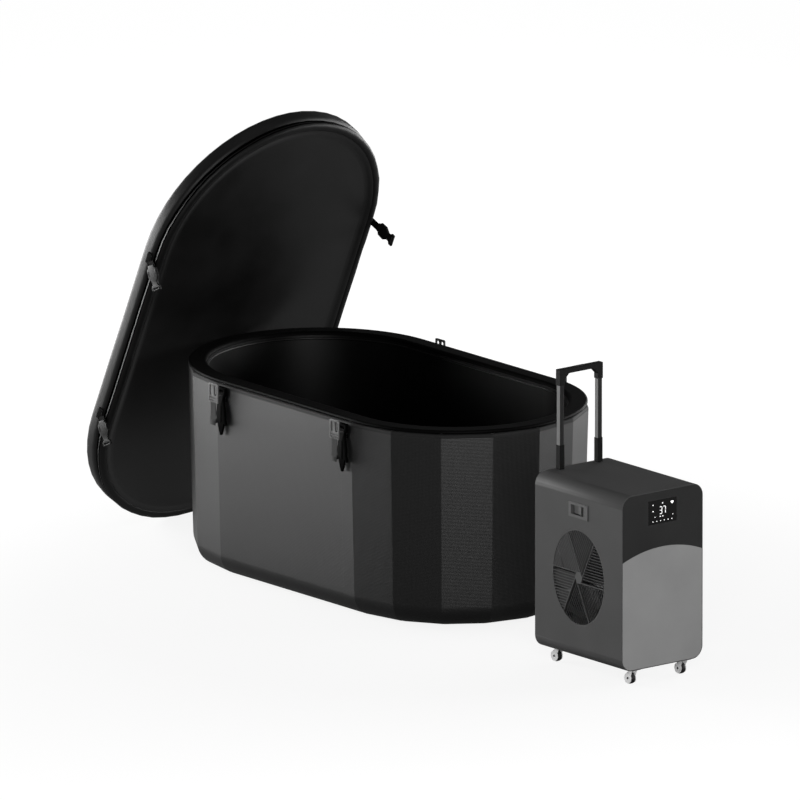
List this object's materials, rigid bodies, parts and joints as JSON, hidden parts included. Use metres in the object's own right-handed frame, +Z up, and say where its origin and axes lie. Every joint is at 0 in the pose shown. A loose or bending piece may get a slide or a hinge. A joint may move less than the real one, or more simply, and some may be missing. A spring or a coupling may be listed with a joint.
{
  "type": "cold plunge tub",
  "caption": "Oval insulated cold plunge tub with a padded lid leaning on one end and a wheeled water chiller with a telescopic handle.",
  "frame": {"origin": "on the floor under the middle of the tub", "axes": "+X along the tub towards the chiller, -Y towards the buckled front, +Z up"},
  "size_m": [2.6245, 0.9743, 1.408],
  "materials": {
    "wrap_fabric": "woven",
    "lid_fabric": "coated",
    "liner": "matte",
    "rim_vinyl": "satin",
    "foam": "foam",
    "base_rubber": "matte",
    "black_plastic": "satin",
    "grey_plastic": "satin",
    "red_plastic": "satin",
    "buckle_plastic": "satin",
    "case_metal": "satin",
    "bare_steel": "brushed",
    "fin_aluminium": "finned",
    "tube_steel": "satin",
    "display_glass": "gloss",
    "grip_rubber": "matte",
    "wheel_plastic": "satin"
  },
  "bodies": {
    "tub": {"tub_wrap": "wrap_fabric", "base_panel": "base_rubber", "floor_board": "foam", "wall_staves": "foam", "inner_liner": "liner", "rim_band": "rim_vinyl", "hose_ports": "black_plastic", "port_nuts": "black_plastic", "drain_valve": "black_plastic", "strap_patches": "wrap_fabric"},
    "tub_strap_1": {"tub_strap_1": "buckle_plastic"},
    "tub_strap_2": {"tub_strap_2": "buckle_plastic"},
    "tub_strap_3": {"tub_strap_3": "buckle_plastic"},
    "tub_strap_4": {"tub_strap_4": "buckle_plastic"},
    "drain_lever": {"drain_lever": "red_plastic"},
    "lid": {"lid_cover": "lid_fabric", "lid_core": "foam", "lid_edge_roll": "lid_fabric", "lid_panel": "liner", "lid_piping": "lid_fabric", "lid_patches": "wrap_fabric"},
    "lid_strap_1": {"lid_strap_1": "buckle_plastic"},
    "lid_strap_2": {"lid_strap_2": "buckle_plastic"},
    "lid_strap_3": {"lid_strap_3": "buckle_plastic"},
    "lid_strap_4": {"lid_strap_4": "buckle_plastic"},
    "chiller": {"case_wrap": "case_metal", "front_upper": "black_plastic", "front_lower": "grey_plastic", "back_panel": "case_metal", "base_plate": "bare_steel", "display_lens": "display_glass", "fan_grille": "black_plastic", "fan_shroud": "black_plastic", "fan_motor": "bare_steel", "condenser": "fin_aluminium", "compressor": "case_metal", "heat_exchanger": "black_plastic", "pump": "black_plastic", "control_box": "grey_plastic", "breaker_bezel": "grey_plastic", "chiller_ports": "black_plastic", "power_inlet": "black_plastic", "exhaust_grille": "black_plastic", "handle_guides": "bare_steel", "castor_plates": "bare_steel"},
    "fan_blades": {"fan_blades": "black_plastic"},
    "breaker_rocker": {"breaker_rocker": "black_plastic"},
    "handle_middle": {"handle_middle": "tube_steel"},
    "handle_upper": {"handle_upper": "tube_steel", "handle_grip": "grip_rubber"},
    "grip_button": {"grip_button": "black_plastic"},
    "castor_fork_1": {"castor_fork_1": "case_metal"},
    "castor_wheel_1": {"castor_wheel_1": "wheel_plastic"},
    "castor_fork_2": {"castor_fork_2": "case_metal"},
    "castor_wheel_2": {"castor_wheel_2": "wheel_plastic"},
    "castor_fork_3": {"castor_fork_3": "case_metal"},
    "castor_wheel_3": {"castor_wheel_3": "wheel_plastic"},
    "castor_fork_4": {"castor_fork_4": "case_metal"},
    "castor_wheel_4": {"castor_wheel_4": "wheel_plastic"}
  },
  "joints": [
    {"name": "tub_strap_1_swing", "type": "hinge", "parent": "tub", "child": "tub_strap_1", "pos_m": [-0.3, -0.42038, 0.622], "axis": [-1, 0, 0], "range_deg": [0, 90]},
    {"name": "tub_strap_2_swing", "type": "hinge", "parent": "tub", "child": "tub_strap_2", "pos_m": [0.3, -0.42038, 0.622], "axis": [-1, 0, 0], "range_deg": [0, 90]},
    {"name": "tub_strap_3_swing", "type": "hinge", "parent": "tub", "child": "tub_strap_3", "pos_m": [-0.3, 0.42038, 0.622], "axis": [1, 0, 0], "range_deg": [0, 90]},
    {"name": "tub_strap_4_swing", "type": "hinge", "parent": "tub", "child": "tub_strap_4", "pos_m": [0.3, 0.42038, 0.622], "axis": [1, 0, 0], "range_deg": [0, 90]},
    {"name": "drain_lever_turn", "type": "hinge", "parent": "tub", "child": "drain_lever", "pos_m": [-0.06, 0.4433, 0.12685], "axis": [0, 0.0287, 0.9996], "range_deg": [0, 90]},
    {"name": "lid_lift", "type": "slide", "parent": "tub", "child": "lid", "axis": [0, 0, 1], "range_m": [0, 0.7]},
    {"name": "lid_strap_1_swing", "type": "hinge", "parent": "lid", "child": "lid_strap_1", "pos_m": [-0.86773, -0.4546, 0.4284], "axis": [-0.4131, 0, -0.9107], "range_deg": [0, 90]},
    {"name": "lid_strap_2_swing", "type": "hinge", "parent": "lid", "child": "lid_strap_2", "pos_m": [-0.61987, -0.4546, 0.97481], "axis": [-0.4131, 0, -0.9107], "range_deg": [0, 90]},
    {"name": "lid_strap_3_swing", "type": "hinge", "parent": "lid", "child": "lid_strap_3", "pos_m": [-0.86773, 0.4206, 0.4284], "axis": [0.4131, 0, 0.9107], "range_deg": [0, 90]},
    {"name": "lid_strap_4_swing", "type": "hinge", "parent": "lid", "child": "lid_strap_4", "pos_m": [-0.61987, 0.4206, 0.97481], "axis": [0.4131, 0, 0.9107], "range_deg": [0, 90]},
    {"name": "chiller_roll", "type": "slide", "parent": "tub", "child": "chiller", "axis": [1, 0, 0], "range_m": [-0.3, 1]},
    {"name": "fan_spin", "type": "hinge", "parent": "chiller", "child": "fan_blades", "pos_m": [1.319, -0.2925, 0.311], "axis": [0, 1, 0], "continuous": true},
    {"name": "breaker_rock", "type": "hinge", "parent": "chiller", "child": "breaker_rocker", "pos_m": [1.315, -0.3, 0.524], "axis": [0, 0, 1], "range_deg": [0, 16]},
    {"name": "handle_middle_slide", "type": "slide", "parent": "chiller", "child": "handle_middle", "axis": [0, 0, 1], "range_m": [-0.077, 0]},
    {"name": "handle_upper_slide", "type": "slide", "parent": "handle_middle", "child": "handle_upper", "axis": [0, 0, 1], "range_m": [-0.188, 0]},
    {"name": "grip_button_press", "type": "slide", "parent": "handle_upper", "child": "grip_button", "axis": [0, 0, -1], "range_m": [0, 0.0025], "stiffness_N_per_m": 1200, "springref_m": -0.001},
    {"name": "castor_1_swivel", "type": "hinge", "parent": "chiller", "child": "castor_fork_1", "pos_m": [1.509, -0.25, 0.047], "axis": [0, 0, 1], "continuous": true},
    {"name": "castor_1_roll", "type": "hinge", "parent": "castor_fork_1", "child": "castor_wheel_1", "pos_m": [1.497, -0.25, 0.0185], "axis": [0, 1, 0], "continuous": true},
    {"name": "castor_2_swivel", "type": "hinge", "parent": "chiller", "child": "castor_fork_2", "pos_m": [1.509, -0.05, 0.047], "axis": [0, 0, 1], "continuous": true},
    {"name": "castor_2_roll", "type": "hinge", "parent": "castor_fork_2", "child": "castor_wheel_2", "pos_m": [1.497, -0.05, 0.0185], "axis": [0, 1, 0], "continuous": true},
    {"name": "castor_3_swivel", "type": "hinge", "parent": "chiller", "child": "castor_fork_3", "pos_m": [1.151, -0.25, 0.047], "axis": [0, 0, 1], "continuous": true},
    {"name": "castor_3_roll", "type": "hinge", "parent": "castor_fork_3", "child": "castor_wheel_3", "pos_m": [1.139, -0.25, 0.0185], "axis": [0, 1, 0], "continuous": true},
    {"name": "castor_4_swivel", "type": "hinge", "parent": "chiller", "child": "castor_fork_4", "pos_m": [1.151, -0.05, 0.047], "axis": [0, 0, 1], "continuous": true},
    {"name": "castor_4_roll", "type": "hinge", "parent": "castor_fork_4", "child": "castor_wheel_4", "pos_m": [1.139, -0.05, 0.0185], "axis": [0, 1, 0], "continuous": true}
  ]
}
